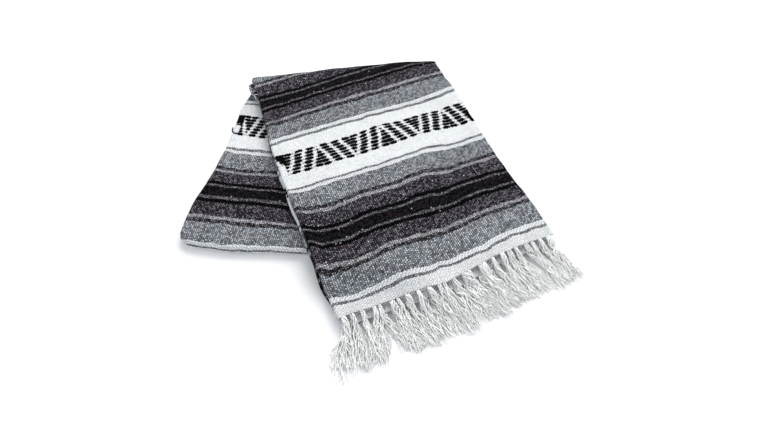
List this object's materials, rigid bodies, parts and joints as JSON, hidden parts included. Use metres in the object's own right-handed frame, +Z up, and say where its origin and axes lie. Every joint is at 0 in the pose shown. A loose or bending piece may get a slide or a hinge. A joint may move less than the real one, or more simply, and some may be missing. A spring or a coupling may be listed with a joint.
{
  "type": "folded mexican blanket",
  "caption": "Striped, fringed woven blanket, folded into a thick strip and turned over on a slant so that its two legs lie in a V with both fringed hems in front.",
  "frame": {"origin": "on the floor, under the middle of the bounding box", "axes": "+Z up, +X along the turn-over line, -Y towards the fringed hems"},
  "size_m": [0.5588, 0.573, 0.048],
  "materials": {
    "cloth_front": "hand-woven, matt, striped",
    "cloth_back": "hand-woven, matt, striped",
    "plies": "hand-woven, matt, folded edges",
    "yarn_upper": "loose twisted yarn, matt",
    "yarn_lower": "loose twisted yarn, matt"
  },
  "bodies": {
    "root": {"front_cloth": "cloth_front", "back_cloth": "cloth_back", "inner_layers": "plies", "fringe_upper": "yarn_upper", "fringe_lower": "yarn_lower"}
  },
  "joints": []
}
